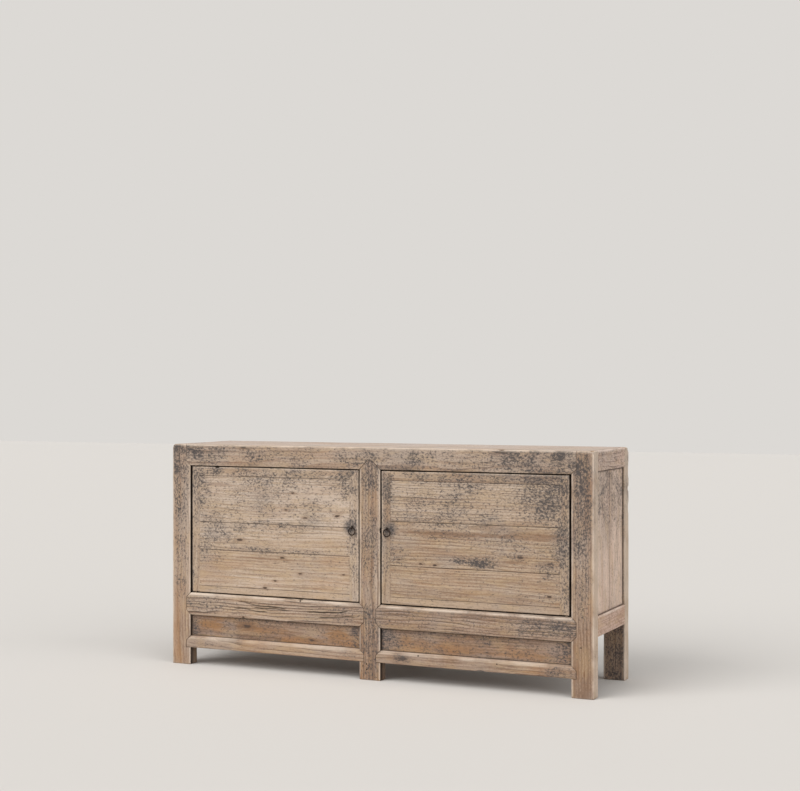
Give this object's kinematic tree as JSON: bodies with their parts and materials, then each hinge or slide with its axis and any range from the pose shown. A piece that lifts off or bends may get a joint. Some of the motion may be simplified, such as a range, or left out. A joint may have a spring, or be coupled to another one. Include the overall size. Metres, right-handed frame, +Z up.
{
  "type": "chinese sideboard",
  "caption": "Low Chinese sideboard of bleached, weathered wood: flush mitred frame, recessed aprons and ends, pivot-hung flush doors with iron ring pulls, inner shelf.",
  "frame": {"origin": "middle of the footprint on the floor, on the box that includes the ring pulls", "axes": "+X to the right seen from the front, +Y to the back, +Z up"},
  "size_m": [1.68, 0.4314, 0.84],
  "materials": {
    "frame_wood": "bleached, worn, old dark paint in the grain",
    "door_wood": "bleached, worn, flecks of old dark paint",
    "panel_wood": "dry, unpolished, faded",
    "old_iron": "forged, blackened, slightly rusty"
  },
  "bodies": {
    "carcass": {"back_centre_post": "frame_wood", "back_top_rail": "frame_wood", "door_stops": "frame_wood", "floor_back_board": "panel_wood", "floor_bearer": "frame_wood", "floor_front_board": "panel_wood", "front_centre_post": "frame_wood", "front_top_rail": "frame_wood", "left_apron": "panel_wood", "left_back_leg": "frame_wood", "left_back_low_rail": "frame_wood", "left_back_lower_board": "panel_wood", "left_back_upper_board": "panel_wood", "left_front_leg": "frame_wood", "left_low_rail": "frame_wood", "left_middle_rail": "frame_wood", "left_side_back_board": "panel_wood", "left_side_front_board": "panel_wood", "left_side_low_rail": "frame_wood", "left_side_top_rail": "frame_wood", "right_apron": "panel_wood", "right_back_leg": "frame_wood", "right_back_low_rail": "frame_wood", "right_back_lower_board": "panel_wood", "right_back_upper_board": "panel_wood", "right_front_leg": "frame_wood", "right_low_rail": "frame_wood", "right_middle_rail": "frame_wood", "right_side_back_board": "panel_wood", "right_side_front_board": "panel_wood", "right_side_low_rail": "frame_wood", "right_side_top_rail": "frame_wood", "shelf_back_board": "panel_wood", "shelf_bearers": "frame_wood", "shelf_front_board": "panel_wood", "top_back_board": "panel_wood", "top_battens": "frame_wood", "top_front_board": "panel_wood", "top_middle_board": "panel_wood"},
    "left_door": {"left_door_battens": "door_wood", "left_door_bottom_rail": "door_wood", "left_door_latch_stile": "door_wood", "left_door_lower_board": "door_wood", "left_door_middle_board": "door_wood", "left_door_pivot_stile": "door_wood", "left_door_top_rail": "door_wood", "left_door_upper_board": "door_wood", "left_pull_pin": "old_iron"},
    "right_door": {"right_door_battens": "door_wood", "right_door_bottom_rail": "door_wood", "right_door_latch_stile": "door_wood", "right_door_lower_board": "door_wood", "right_door_middle_board": "door_wood", "right_door_pivot_stile": "door_wood", "right_door_top_rail": "door_wood", "right_door_upper_board": "door_wood", "right_pull_pin": "old_iron"},
    "left_ring": {"left_pull_ring": "old_iron"},
    "right_ring": {"right_pull_ring": "old_iron"}
  },
  "joints": [
    {"name": "left_door_swing", "type": "hinge", "parent": "carcass", "child": "left_door", "pos_m": [-0.741, -0.18975, 0.275], "axis": [0, 0, -1], "range_deg": [0, 100]},
    {"name": "left_ring_swing", "type": "hinge", "parent": "left_door", "child": "left_ring", "pos_m": [-0.06976, -0.20925, 0.54759], "axis": [-1, 0, 0], "range_deg": [-6, 186]},
    {"name": "right_door_swing", "type": "hinge", "parent": "carcass", "child": "right_door", "pos_m": [0.741, -0.18975, 0.275], "axis": [0, 0, 1], "range_deg": [0, 100]},
    {"name": "right_ring_swing", "type": "hinge", "parent": "right_door", "child": "right_ring", "pos_m": [0.06976, -0.20925, 0.54759], "axis": [-1, 0, 0], "range_deg": [-6, 186]}
  ]
}
